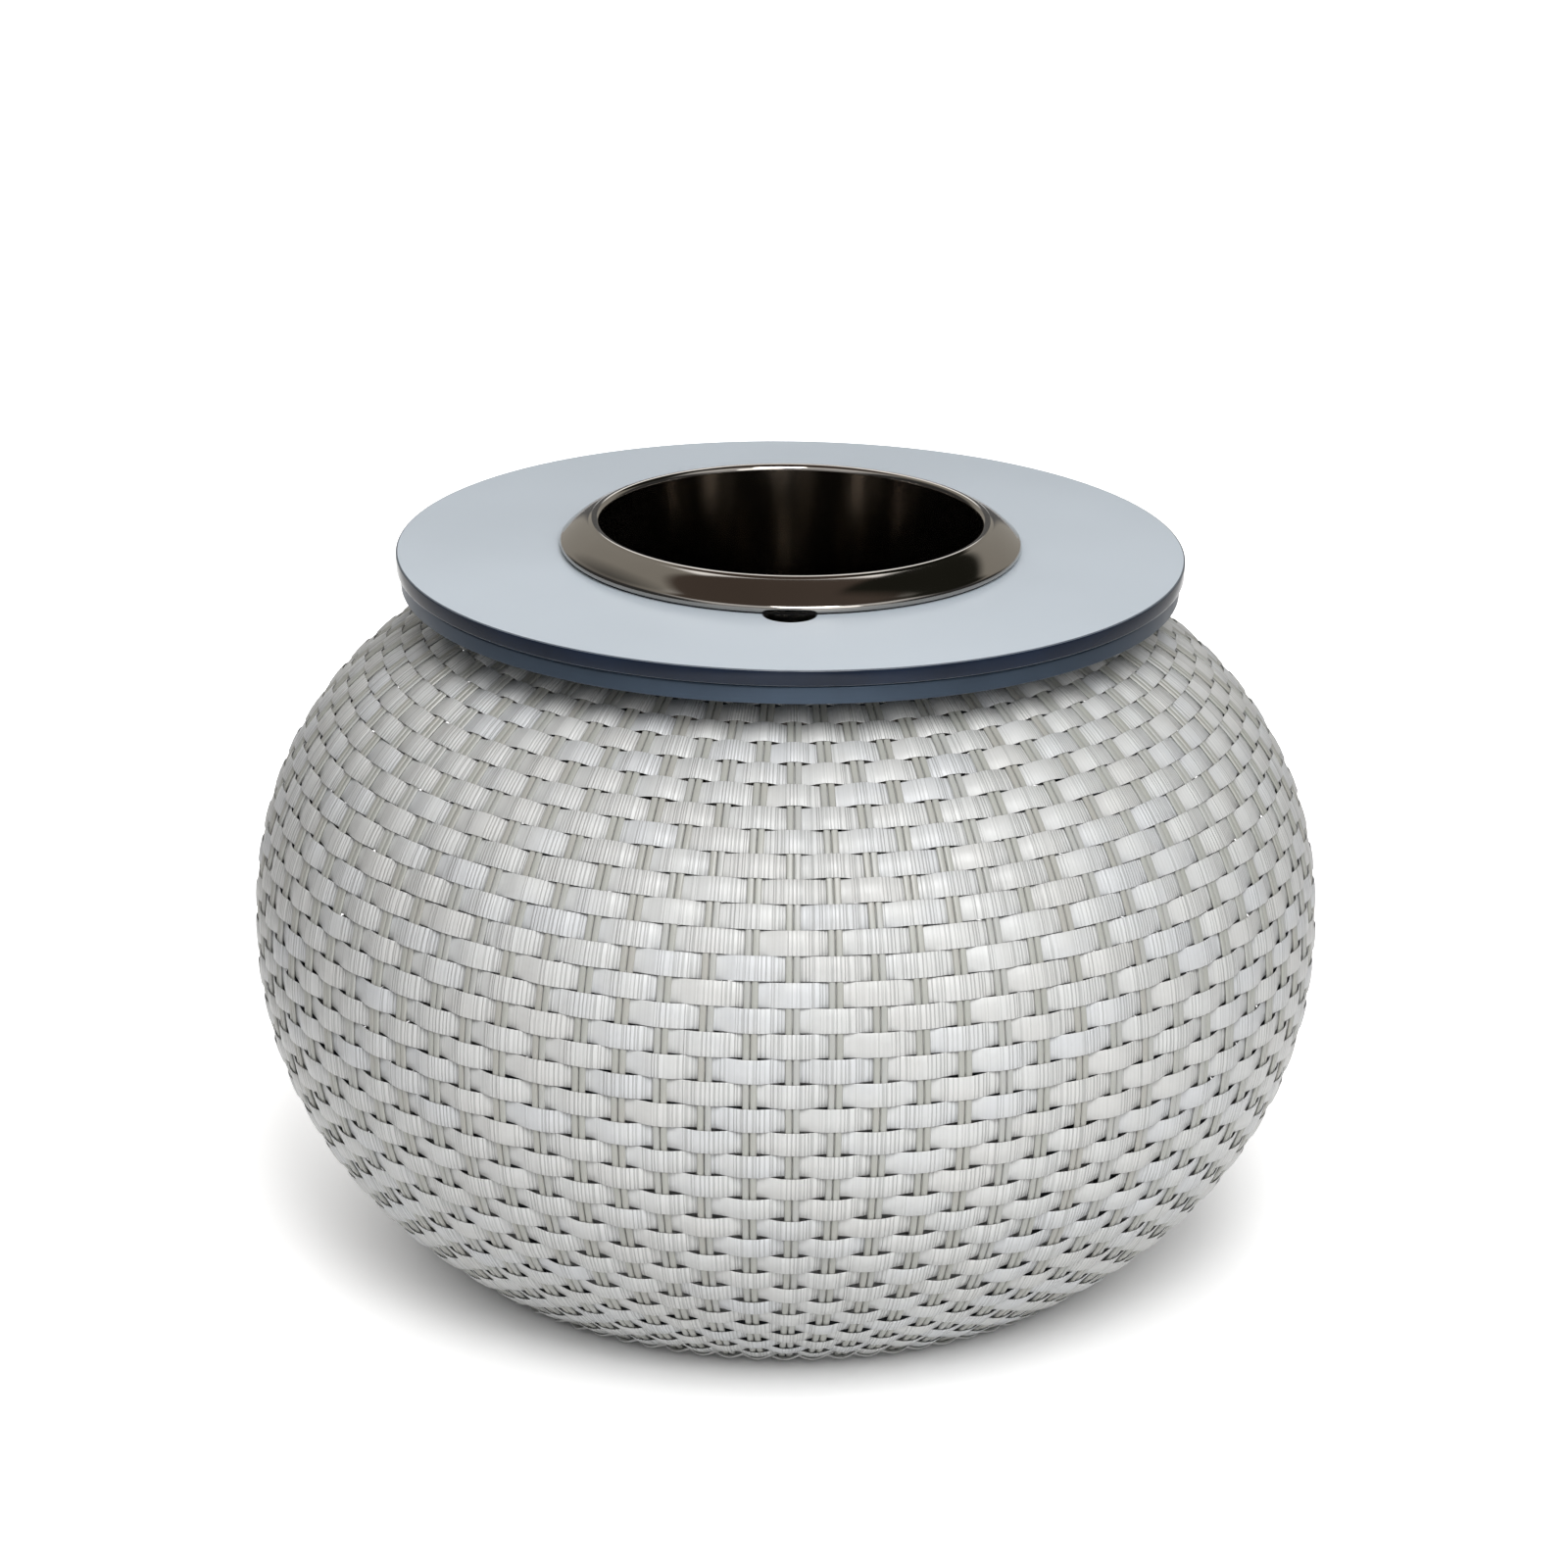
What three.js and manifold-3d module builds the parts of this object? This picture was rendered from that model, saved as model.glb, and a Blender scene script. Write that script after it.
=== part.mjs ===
// Round woven coffee table with an ice bucket that lifts out of its glass top.
// Millimetres, +Z up. The table's axis is Z and the floor is z = 0.

import * as THREE from "three";
import { mergeVertices } from "three/addons/utils/BufferGeometryUtils.js";
import Module from "manifold-3d";

const wasm = await Module();
wasm.setup();

// Driving dimensions of the woven body
const bodyRadius = 350; // widest ring of the weave
const hemRadius = 231; // bottom edge of the weave
const rimRadius = 190; // top edge of the weave, hidden under the table top
const hemHeight = 4; // the glides hold the weave this far off the floor
const waistRise = 214; // bottom edge up to the widest ring
const shoulderRise = 226; // widest ring up to the top edge
const skinThickness = 7;
const crestRise = 1.4; // how far a strip bulges out where it passes over a stake
const dipDepth = 2.2; // how far it falls back where it passes behind the next
const stripPitch = 15.36; // from one row of the weave to the next, measured up the wall
const bindingHeight = 7.6; // twined edges below the first row and above the last
const stakeCount = 84;

// Driving dimensions of the frame inside the weave
const ringTube = 8; // tube radius of the top ring and the base ring
const beltTube = 5;
const ribTube = 6;
const ribCount = 6;
const skinClearance = 2.2; // between the frame's tubes and the inside of the weave
const seatGap = 0.3; // between pieces that bear on each other

// Driving dimensions of the table top
const glassRadius = 254;
const glassThickness = 10;
const holeClearance = 5; // lip of the bucket to the edge of the hole in the glass
const glassArris = 1.2;
const notchRadius = 16; // half-round finger notch in the edge of the hole
const notchShow = 12.5; // how far the notch runs out past the brim
const trayInset = 3; // edge of the glass to the tray's skirt
const trayWidth = 79.5;
const traySheet = 3;
const skirtDepth = 11;
const skirtRounding = 1.5;
const rimToTray = 13; // top edge of the weave up to the tray
const padCount = 6;
const padRadius = 10;
const padThickness = 1;
const padInset = 21.5; // edge of the tray to the middle of a pad

// Driving dimensions of the fixings and feet
const bracketCount = 4;
const bracketWidth = 24;
const bracketSheet = 3;
const bracketBend = 4; // outer radius of the bracket's bend
const screwSetback = 11.5; // from the top ring's middle, or the tray's hole if wider, to a screw
const screwInset = 9; // screw to the outer end of the bracket
const screwRadius = 3;
const screwHeadRadius = 5.6;
const screwHeadDepth = 2.6;
const screwLength = 10; // under the head
const glideCount = 6;
const glideRadius = 9;
const glideChamfer = 1.5;
const glideInset = 6; // the glides stand this far inside the base ring's centre line

// Driving dimensions of the bucket
const bucketSheet = 1.5;
const lipRadius = 127; // crest of the bucket's lip
const lipRounding = 3;
const brimWidth = 21; // crest of the lip to the outer edge of the brim that lies on the glass
const brimRise = 14.5; // brim's bead up to the lip
const brimCrown = 3.5; // how far the brim bulges above a straight cone
const beadRounding = 1.7;
const bucketDepth = 206; // lip down to the inside of the floor
const bucketFloorRadius = 72;
const bucketCorner = 40; // rounding between floor and wall
const bucketTaper = 7; // how much the wall draws in from lip to floor
const gasketWidth = 6;
const gasketThickness = 1.5;
const gasketInset = 2; // outer edge of the gasket to the outer edge of the brim

const cutOverrun = 5; // how far a cutting body runs past what it cuts

// Fineness of the facets
const ringFacets = 36;
const topFacets = 48;
const bucketFacets = 32;
const smallFacets = 12;
const tubeSides = 6;
const ribSteps = 12;
const liningSteps = 8;
const bendSteps = 3;
const roundingSteps = 2;

// Heights and radii that follow from the driving dimensions
const waistHeight = hemHeight + waistRise;
const rimHeight = waistHeight + shoulderRise;
const trayUnderside = rimHeight + rimToTray;
const trayTop = trayUnderside + traySheet;
const glassUnderside = trayTop + padThickness;
const glassTop = glassUnderside + glassThickness;
const gasketTop = glassTop + gasketThickness;
const trayRadius = glassRadius - trayInset;
const trayHoleRadius = trayRadius - trayWidth;
const padCircle = trayRadius - padInset;
const glassHoleRadius = lipRadius + holeClearance;
const brimRadius = lipRadius + brimWidth;
const notchReach = brimRadius + notchShow;

const materials = {
  weave: finish(0xcbcac7, 0.55, 0),
  frame: finish(0x4a4f54, 0.5, 0.6),
  tray: finish(0x4b555d, 0.45, 0.5),
  glass: finish(0xc4ccd2, 0.18, 0),
  steel: finish(0xb9b6b1, 0.16, 1),
  screw: finish(0x8d8f92, 0.35, 1),
  rubber: finish(0x17181a, 0.75, 0),
  silicone: finish(0xd9dcdd, 0.5, 0),
};

function finish(color, roughness, metalness) {
  return new THREE.MeshStandardMaterial({ color, roughness, metalness });
}

// Solids for cutting and joining

function toSolid(geometry) {
  const bare = geometry.clone();
  bare.deleteAttribute("normal");
  bare.deleteAttribute("uv");
  const welded = mergeVertices(bare);
  const corners = welded.index.array;
  const kept = [];
  for (let i = 0; i < corners.length; i += 3) {
    const [a, b, c] = corners.slice(i, i + 3);
    if (a !== b && b !== c && c !== a) {
      kept.push(a, b, c);
    }
  }
  const vertProperties = new Float32Array(welded.attributes.position.array);
  const triVerts = new Uint32Array(kept);
  return new wasm.Manifold(new wasm.Mesh({ numProp: 3, vertProperties, triVerts }));
}

function toGeometry(solid) {
  const mesh = solid.getMesh();
  const geometry = new THREE.BufferGeometry();
  geometry.setAttribute("position", new THREE.BufferAttribute(mesh.vertProperties, 3));
  geometry.setIndex(new THREE.BufferAttribute(mesh.triVerts, 1));
  const faceted = geometry.toNonIndexed();
  faceted.computeVertexNormals();
  return faceted;
}

// Forms that several pieces share. An outline is a list of [radius, height] pairs.

function revolve(outline, facets) {
  const points = outline.map(([radius, height]) => new THREE.Vector2(radius, height));
  const geometry = new THREE.LatheGeometry(points, facets);
  return geometry.rotateX(Math.PI / 2);
}

function arc(centre, radius, from, to, steps) {
  const points = [];
  for (let i = 0; i <= steps; i++) {
    const angle = from + ((to - from) * i) / steps;
    points.push([centre[0] + radius * Math.cos(angle), centre[1] + radius * Math.sin(angle)]);
  }
  return points;
}

function flatShape(outline) {
  return new THREE.Shape(outline.map(([x, y]) => new THREE.Vector2(x, y)));
}

function ringGeometry(ring, extraTube = 0) {
  const geometry = new THREE.TorusGeometry(ring.radius, ring.tube + extraTube, tubeSides, ringFacets);
  return geometry.translate(0, 0, ring.height);
}

function aroundAxis(count, startAngle, makeCopy) {
  for (let i = 0; i < count; i++) {
    const copy = makeCopy(i + 1);
    copy.rotation.z = startAngle + (2 * Math.PI * i) / count;
    table.add(copy);
  }
}

function piece(name, geometry, material) {
  const mesh = new THREE.Mesh(geometry, material);
  mesh.name = name;
  return mesh;
}

// Outline of the woven wall: each half is a squared-off quarter ellipse that ends at its edge.
const lowerHalf = { rise: waistRise, edgeRadius: hemRadius, roundness: 2.09, fullness: 2.21 };
const upperHalf = { rise: shoulderRise, edgeRadius: rimRadius, roundness: 2.23, fullness: 2.43 };

function wallPoint(height, inset) {
  const half = height < waistHeight ? lowerHalf : upperHalf;
  const drawnIn = 1 - (half.edgeRadius / bodyRadius) ** half.fullness;
  const reach = half.rise / drawnIn ** (1 / half.roundness);
  const climb = Math.abs(height - waistHeight) / reach;
  const left = 1 - climb ** half.roundness;
  const radius = bodyRadius * left ** (1 / half.fullness);
  const curving = (half.roundness * climb ** (half.roundness - 1)) / (half.fullness * left);
  const steepness = (curving * radius) / reach;
  const slope = height < waistHeight ? steepness : -steepness;
  const inward = inset / Math.hypot(1, slope);
  return [radius - inward, height + inward * slope];
}

class WallCurve extends THREE.Curve {
  constructor(inset) {
    super();
    this.inset = inset;
  }

  getPoint(t, target = new THREE.Vector3()) {
    const [radius, height] = wallPoint(hemHeight + t * (rimHeight - hemHeight), this.inset);
    return target.set(radius, 0, height);
  }
}

// Woven skin: strips pass over and behind every other stake, so its outside is a chequer of bulges.
// It is one closed net of rings: up the outside, with a ring along the middle of each row, then down
// the plain inside.

function wallRing(wall, share, woven) {
  const { x: radius, z: height } = wall.getPointAt(share);
  const { x: across, z: up } = wall.getTangentAt(share);
  return { radius, height, across, up, woven };
}

function wovenNet() {
  const outside = new WallCurve(0);
  const inside = new WallCurve(skinThickness);
  const wallLength = outside.getLength();
  const rowCount = Math.floor((wallLength - 2 * bindingHeight) / stripPitch);
  const rings = [wallRing(outside, 0, false)];
  for (let row = 0; row < rowCount; row++) {
    const rowMiddle = bindingHeight + (row + 0.5) * stripPitch;
    rings.push(wallRing(outside, rowMiddle / wallLength, true));
  }
  rings.push(wallRing(outside, 1, false));
  for (let step = liningSteps; step >= 0; step--) {
    rings.push(wallRing(inside, step / liningSteps, false));
  }
  return rings;
}

function wovenShell() {
  const rings = wovenNet();
  const positions = [];
  rings.forEach(({ radius, height, across, up, woven }, row) => {
    for (let stake = 0; stake < stakeCount; stake++) {
      const bulge = (row + stake) % 2 === 0 ? crestRise : -dipDepth;
      const out = woven ? bulge : 0;
      const angle = frontStakeAngle + (2 * Math.PI * stake) / stakeCount;
      const reach = radius + out * up;
      positions.push(reach * Math.cos(angle), reach * Math.sin(angle), height - out * across);
    }
  });

  const triangles = [];
  for (let row = 0; row < rings.length; row++) {
    const above = (row + 1) % rings.length;
    for (let stake = 0; stake < stakeCount; stake++) {
      const beside = (stake + 1) % stakeCount;
      const a = row * stakeCount + stake;
      const b = row * stakeCount + beside;
      const c = above * stakeCount + beside;
      const d = above * stakeCount + stake;
      // the crease joins the two hollows of each square, so that every bulge is a peak
      if ((row + stake) % 2 === 0) {
        triangles.push(a, b, d, b, c, d);
      } else {
        triangles.push(a, b, c, a, c, d);
      }
    }
  }
  const geometry = new THREE.BufferGeometry();
  geometry.setAttribute("position", new THREE.Float32BufferAttribute(positions, 3));
  geometry.setIndex(triangles);
  geometry.computeVertexNormals();
  return piece("woven_shell", geometry, materials.weave);
}

// Frame: two rings at the edges of the weave, a belt at its waist, and ribs that follow its curve.

function ringInsideWall(height, tube, inset) {
  const [radius, ringHeight] = wallPoint(height, inset + tube);
  return { radius, height: ringHeight, tube };
}

const frameInset = skinThickness + skinClearance;
const baseRing = ringInsideWall(hemHeight, ringTube, frameInset);
const topRing = ringInsideWall(rimHeight, ringTube, frameInset);
const beltRing = ringInsideWall(waistHeight, beltTube, frameInset + 2 * ribTube + seatGap);

function ribGeometry() {
  const section = flatShape(arc([0, 0], ribTube, 0, 2 * Math.PI, tubeSides).slice(1));
  const extrudePath = new WallCurve(frameInset + ribTube);
  const tube = new THREE.ExtrudeGeometry(section, { steps: ribSteps, extrudePath });
  const seats = [baseRing, beltRing, topRing].map((ring) => toSolid(ringGeometry(ring, seatGap)));
  const coped = seats.reduce((rib, seat) => rib.subtract(seat), toSolid(tube));
  return toGeometry(coped);
}

// Brackets: bent plates welded to the inside of the top ring, that carry the tray.

// The upright reaches into the ring and is cut back to it.
const bracketTop = trayUnderside - seatGap;
const bracketFace = topRing.radius - topRing.tube + bracketSheet / 2;
const screwCircle = Math.max(topRing.radius, trayHoleRadius) + screwSetback;
const bracketEnd = screwCircle + screwInset;

function bracketGeometry(ringSeat) {
  const inner = bracketFace - bracketSheet;
  const outerBend = [inner + bracketBend, bracketTop - bracketBend];
  const outline = [
    [inner, topRing.height - topRing.tube],
    ...arc(outerBend, bracketBend, Math.PI, Math.PI / 2, bendSteps),
    [bracketEnd, bracketTop],
    [bracketEnd, bracketTop - bracketSheet],
    ...arc(outerBend, bracketBend - bracketSheet, Math.PI / 2, Math.PI, bendSteps),
    [bracketFace, topRing.height - topRing.tube],
  ];
  const plate = new THREE.ExtrudeGeometry(flatShape(outline), { depth: bracketWidth, bevelEnabled: false });
  plate.translate(0, 0, -bracketWidth / 2).rotateX(Math.PI / 2);
  const drilled = toSolid(plate).subtract(toSolid(screwHole()));
  return toGeometry(drilled.subtract(ringSeat));
}

// Screws: countersunk, driven from above through the tray into the brackets.

function screwOutline(clearance, headTop, tip) {
  const shank = screwRadius + clearance;
  const head = screwHeadRadius + clearance;
  const underHead = trayTop - screwHeadDepth - clearance;
  return [[0, tip], [shank, tip], [shank, underHead], [head, trayTop], [head, headTop], [0, headTop]];
}

function screwHole() {
  const outline = screwOutline(seatGap, trayTop + cutOverrun, trayTop - screwLength - cutOverrun);
  return revolve(outline, smallFacets).translate(screwCircle, 0, 0);
}

function screwGeometry() {
  const tip = trayTop - screwHeadDepth - screwLength;
  const outline = screwOutline(0, trayTop, tip).slice(0, -2);
  return revolve([...outline, [0, trayTop]], smallFacets).translate(screwCircle, 0, 0);
}

// Tray: a ring of sheet with a turned-down skirt, under the glass.

function trayGeometry() {
  const rounding = [trayRadius - skirtRounding, trayTop - skirtRounding];
  const skirtInside = trayRadius - traySheet;
  const skirtFoot = trayTop - skirtDepth;
  const outline = [
    [trayHoleRadius, trayUnderside],
    [skirtInside, trayUnderside],
    [skirtInside, skirtFoot],
    [trayRadius, skirtFoot],
    ...arc(rounding, skirtRounding, 0, Math.PI / 2, roundingSteps),
    [trayHoleRadius, trayTop],
    [trayHoleRadius, trayUnderside],
  ];
  let tray = toSolid(revolve(outline, topFacets));
  for (let i = 0; i < bracketCount; i++) {
    const hole = screwHole().rotateZ(fixingAngle + (2 * Math.PI * i) / bracketCount);
    tray = tray.subtract(toSolid(hole));
  }
  return toGeometry(tray);
}

// Glass: a flat disc with eased edges, a round hole for the bucket and a finger notch at the front.

function notchGeometry() {
  const centre = -notchReach + notchRadius;
  const start = -glassHoleRadius + notchRadius;
  const shape = new THREE.Shape();
  shape.moveTo(notchRadius, start);
  shape.lineTo(-notchRadius, start);
  shape.lineTo(-notchRadius, centre);
  shape.absarc(0, centre, notchRadius, Math.PI, 2 * Math.PI, false);
  shape.closePath();
  const depth = glassThickness + 2 * cutOverrun;
  const curveSegments = smallFacets / 2;
  const notch = new THREE.ExtrudeGeometry(shape, { depth, curveSegments, bevelEnabled: false });
  return notch.translate(0, 0, glassUnderside - cutOverrun);
}

function glassGeometry() {
  const outline = [
    [glassHoleRadius, glassUnderside],
    [glassRadius - glassArris, glassUnderside],
    [glassRadius, glassUnderside + glassArris],
    [glassRadius, glassTop - glassArris],
    [glassRadius - glassArris, glassTop],
    [glassHoleRadius + glassArris, glassTop],
    [glassHoleRadius, glassTop - glassArris],
    [glassHoleRadius, glassUnderside],
  ];
  const disc = toSolid(revolve(outline, topFacets));
  return toGeometry(disc.subtract(toSolid(notchGeometry())));
}

function padGeometry() {
  const pad = new THREE.CylinderGeometry(padRadius, padRadius, padThickness, smallFacets);
  return pad.rotateX(Math.PI / 2).translate(padCircle, 0, trayTop + padThickness / 2);
}

// Glides: feet that hug the underside of the base ring.

function glideGeometry(ringSeat) {
  const outline = [
    [0, 0],
    [glideRadius - glideChamfer, 0],
    [glideRadius, glideChamfer],
    [glideRadius, baseRing.height - baseRing.tube / 2],
    [0, baseRing.height - baseRing.tube / 2],
  ];
  const foot = revolve(outline, smallFacets).translate(baseRing.radius - glideInset, 0, 0);
  return toGeometry(toSolid(foot).subtract(ringSeat));
}

// Bucket: one spun sheet. Its middle line runs from the floor up the wall, over the lip and down the brim.

const beadHeight = gasketTop + seatGap + beadRounding + bucketSheet / 2;
const lipHeight = beadHeight + brimRise;

function bucketLine() {
  const floorHeight = lipHeight - bucketDepth;
  const wallFoot = lipRadius - lipRounding - bucketTaper;
  const corner = [wallFoot - bucketCorner, floorHeight + bucketCorner];
  const lipCentre = [lipRadius, lipHeight - lipRounding];
  const lip = arc(lipCentre, lipRounding, Math.PI, Math.PI / 4, roundingSteps);
  const beadCentre = [brimRadius - beadRounding, beadHeight];
  const bead = arc(beadCentre, beadRounding, Math.PI / 3, -Math.PI / 2, roundingSteps);
  const brimStart = lip[lip.length - 1];
  const brimBow = [(brimStart[0] + bead[0][0]) / 2, (brimStart[1] + bead[0][1]) / 2 + brimCrown];
  return [
    [0, floorHeight],
    [bucketFloorRadius, floorHeight],
    ...arc(corner, bucketCorner, -Math.PI / 3, 0, roundingSteps),
    ...lip,
    brimBow,
    ...bead,
  ];
}

function thicken(line, sheet) {
  const sides = { left: [], right: [] };
  line.forEach(([radius, height], i) => {
    const before = line[Math.max(i - 1, 0)];
    const after = line[Math.min(i + 1, line.length - 1)];
    const run = [after[0] - before[0], after[1] - before[1]];
    const reach = sheet / 2 / Math.hypot(run[0], run[1]);
    const side = radius === 0 ? [0, sheet / 2] : [-run[1] * reach, run[0] * reach];
    sides.left.push([radius + side[0], height + side[1]]);
    sides.right.push([radius - side[0], height - side[1]]);
  });
  return [...sides.right, ...sides.left.reverse()];
}

function bucketGeometry() {
  return revolve(thicken(bucketLine(), bucketSheet), bucketFacets);
}

function gasketGeometry() {
  const outside = brimRadius - gasketInset;
  const inside = outside - gasketWidth;
  const outline = [
    [inside, glassTop],
    [outside, glassTop],
    [outside, gasketTop],
    [inside, gasketTop],
    [inside, glassTop],
  ];
  return revolve(outline, bucketFacets);
}

// Assembly
const table = new THREE.Group();
const bucket = new THREE.Group();
const iceBucketTable = new THREE.Group();
iceBucketTable.add(table, bucket);

const frontStakeAngle = THREE.MathUtils.degToRad(-89.1);
const ribAngle = 0;
const glideAngle = Math.PI / 6;
const fixingAngle = Math.PI / 6;
const padAngle = 0;

table.add(wovenShell());
table.add(piece("base_ring", ringGeometry(baseRing), materials.frame));
table.add(piece("belt_ring", ringGeometry(beltRing), materials.frame));
table.add(piece("top_ring", ringGeometry(topRing), materials.frame));
const ribForm = ribGeometry();
aroundAxis(ribCount, ribAngle, (number) => piece(`rib_${number}`, ribForm, materials.frame));

const glideForm = glideGeometry(toSolid(ringGeometry(baseRing, seatGap)));
aroundAxis(glideCount, glideAngle, (number) => piece(`glide_${number}`, glideForm, materials.rubber));
const bracketForm = bracketGeometry(toSolid(ringGeometry(topRing, seatGap)));
aroundAxis(bracketCount, fixingAngle, (number) => piece(`bracket_${number}`, bracketForm, materials.frame));
const screwForm = screwGeometry();
aroundAxis(bracketCount, fixingAngle, (number) => piece(`screw_${number}`, screwForm, materials.screw));

table.add(piece("top_tray", trayGeometry(), materials.tray));
const padForm = padGeometry();
aroundAxis(padCount, padAngle, (number) => piece(`glass_pad_${number}`, padForm, materials.silicone));
table.add(piece("glass_top", glassGeometry(), materials.glass));

bucket.add(piece("ice_bucket", bucketGeometry(), materials.steel));
bucket.add(piece("rim_gasket", gasketGeometry(), materials.rubber));

export default iceBucketTable;
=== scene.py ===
import bisect
import math
import random

import bmesh
import bpy
from mathutils import Matrix, Vector


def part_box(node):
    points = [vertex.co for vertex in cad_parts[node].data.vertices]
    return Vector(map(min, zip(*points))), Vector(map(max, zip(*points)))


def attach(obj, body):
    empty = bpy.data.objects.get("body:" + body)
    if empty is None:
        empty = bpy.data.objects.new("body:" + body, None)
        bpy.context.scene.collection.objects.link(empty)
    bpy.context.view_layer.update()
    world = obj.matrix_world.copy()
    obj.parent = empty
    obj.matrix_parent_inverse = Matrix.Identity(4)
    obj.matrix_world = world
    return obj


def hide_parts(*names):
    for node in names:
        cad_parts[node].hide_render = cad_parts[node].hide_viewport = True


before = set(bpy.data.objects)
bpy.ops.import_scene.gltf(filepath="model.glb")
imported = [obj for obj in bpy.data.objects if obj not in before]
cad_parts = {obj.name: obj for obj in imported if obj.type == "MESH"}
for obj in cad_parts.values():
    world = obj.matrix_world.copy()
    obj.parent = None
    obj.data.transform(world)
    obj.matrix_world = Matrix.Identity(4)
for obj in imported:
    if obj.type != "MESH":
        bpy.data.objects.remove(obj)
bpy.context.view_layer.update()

# Camera: a long lens in front of the finger notch, which faces -Y, and 0.8 m above the table top.
# It is aimed at the belly of the table and rolled by less than a degree.
camera_distance = 2.8
camera_elevation = math.radians(21.7)
camera_roll = math.radians(0.75)
look_at = Vector((0, 0, 0.221))

lens = bpy.data.cameras.new("front_camera")
lens.sensor_width = 36
lens.lens = 96.3
lens.shift_x = -0.0012
lens.shift_y = 0.0775
camera = bpy.data.objects.new("front_camera", lens)
toward_camera = Vector((0, -math.cos(camera_elevation), math.sin(camera_elevation)))
camera.location = look_at + camera_distance * toward_camera
tilt = Matrix.Rotation(math.pi / 2 - camera_elevation, 3, "X")
camera.rotation_euler = (tilt @ Matrix.Rotation(camera_roll, 3, "Z")).to_euler()
bpy.context.scene.collection.objects.link(camera)
bpy.context.scene.camera = camera


# Frame: aluminium tubes bent and welded, powder coated slate grey. A ring carries each edge of the
# weave, a belt and six ribs follow its belly, and brackets on the top ring carry the tray.
tube_sides = 16
ring_steps = 144
rib_steps = 48
rib_count = 6
# nearly all of the noise lies between these two
noise_low = 0.3
noise_high = 0.7


def add_object(name, mesh, body, *materials):
    """An object for a mesh, with its materials, that rides on a body."""
    made = bpy.data.objects.new(name, mesh)
    bpy.context.scene.collection.objects.link(made)
    for material in materials:
        mesh.materials.append(material)
    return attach(made, body)


def smooth(mesh, crease_degrees):
    """Shades the mesh smooth, apart from edges sharper than this."""
    mesh.polygons.foreach_set("use_smooth", [True] * len(mesh.polygons))
    mesh.set_sharp_from_angle(angle=math.radians(crease_degrees))


def join_rings(points, faces, rings, closed):
    """Adds rings of points, each joined to the next; an open run gets end caps."""
    first = len(points)
    sides = len(rings[0])
    for ring in rings:
        points.extend(ring)
    last = len(rings) if closed else len(rings) - 1
    for i in range(last):
        here = first + i * sides
        there = first + ((i + 1) % len(rings)) * sides
        for k in range(sides):
            beside = (k + 1) % sides
            faces.append((here + k, there + k, there + beside, here + beside))
    if not closed:
        faces.append(tuple(first + k for k in range(sides)))
        end = first + (len(rings) - 1) * sides
        faces.append(tuple(end + k for k in reversed(range(sides))))


def mesh_of(name, points, faces, crease_degrees=40):
    """A mesh with its faces pointing outward."""
    mesh = bpy.data.meshes.new(name)
    mesh.from_pydata(points, [], faces)
    shape = bmesh.new()
    shape.from_mesh(mesh)
    bmesh.ops.recalc_face_normals(shape, faces=shape.faces)
    shape.to_mesh(mesh)
    shape.free()
    smooth(mesh, crease_degrees)
    return mesh


def around(radius, angle, height):
    """The point at this distance from the table's axis."""
    return Vector((radius * math.cos(angle), radius * math.sin(angle), height))


def turned(name, outline, steps, crease_degrees=40):
    """A mesh of revolution of a closed outline of (radius, height) points."""
    rings = []
    for i in range(steps):
        angle = 2 * math.pi * i / steps
        rings.append([around(radius, angle, height) for radius, height in outline])
    points, faces = [], []
    join_rings(points, faces, rings, closed=True)
    return mesh_of(name, points, faces, crease_degrees)


def arc(centre, radius, start, end, steps):
    """Points of (radius, height) along an arc, from one angle in degrees to another."""
    points = []
    for i in range(steps + 1):
        angle = math.radians(start + (end - start) * i / steps)
        points.append((centre[0] + radius * math.cos(angle), centre[1] + radius * math.sin(angle)))
    return points


def new_group(name, inputs, outputs):
    """A shader node group. Each input has a default, and each output has a kind of socket."""
    group = bpy.data.node_groups.new(name, "ShaderNodeTree")
    for label, value in inputs.items():
        kind = "NodeSocketFloat" if isinstance(value, (int, float)) else "NodeSocketColor"
        socket = group.interface.new_socket(label, in_out="INPUT", socket_type=kind)
        socket.default_value = value
    for label, kind in outputs.items():
        group.interface.new_socket(label, in_out="OUTPUT", socket_type=kind)
    return group, group.nodes.new("NodeGroupInput").outputs


def put(tree, kind, sockets, **settings):
    """Adds a node. Sockets get values or are fed by other nodes' outputs."""
    node = tree.nodes.new("ShaderNode" + kind)
    for label, value in settings.items():
        setattr(node, label, value)
    for label, value in sockets.items():
        if isinstance(value, bpy.types.NodeSocket):
            tree.links.new(value, node.inputs[label])
        else:
            node.inputs[label].default_value = value
    return node


def maths(tree, operation, first, second=0.0):
    """One sum, product or the like of two values."""
    return put(tree, "Math", {0: first, 1: second}, operation=operation).outputs[0]


def remap(tree, value, low, high, new_low, new_high):
    """A value carried from one range to another, and held inside it."""
    sockets = {"Value": value, "From Min": low, "From Max": high}
    sockets.update({"To Min": new_low, "To Max": new_high})
    return put(tree, "MapRange", sockets).outputs["Result"]


def noise(tree, scale, detail):
    """Clouds of noise, fixed to the piece."""
    place = put(tree, "TexCoord", {}).outputs["Object"]
    sockets = {"Vector": place, "Scale": scale, "Detail": detail}
    return put(tree, "TexNoise", sockets).outputs["Fac"]


def blend_colours(tree, share, first, second, mode="MIX"):
    """Two colours mixed, multiplied or the like by a share."""
    # 0 is the Mix node's share, 6 and 7 are its two colours and 2 is its mixed colour
    sockets = {0: share, 6: first, 7: second}
    return put(tree, "Mix", sockets, data_type="RGBA", blend_type=mode).outputs[2]


def place_group(tree, group, sockets):
    """A copy of a shared group, with this material's own values."""
    return put(tree, "Group", sockets, node_tree=group).outputs


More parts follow.
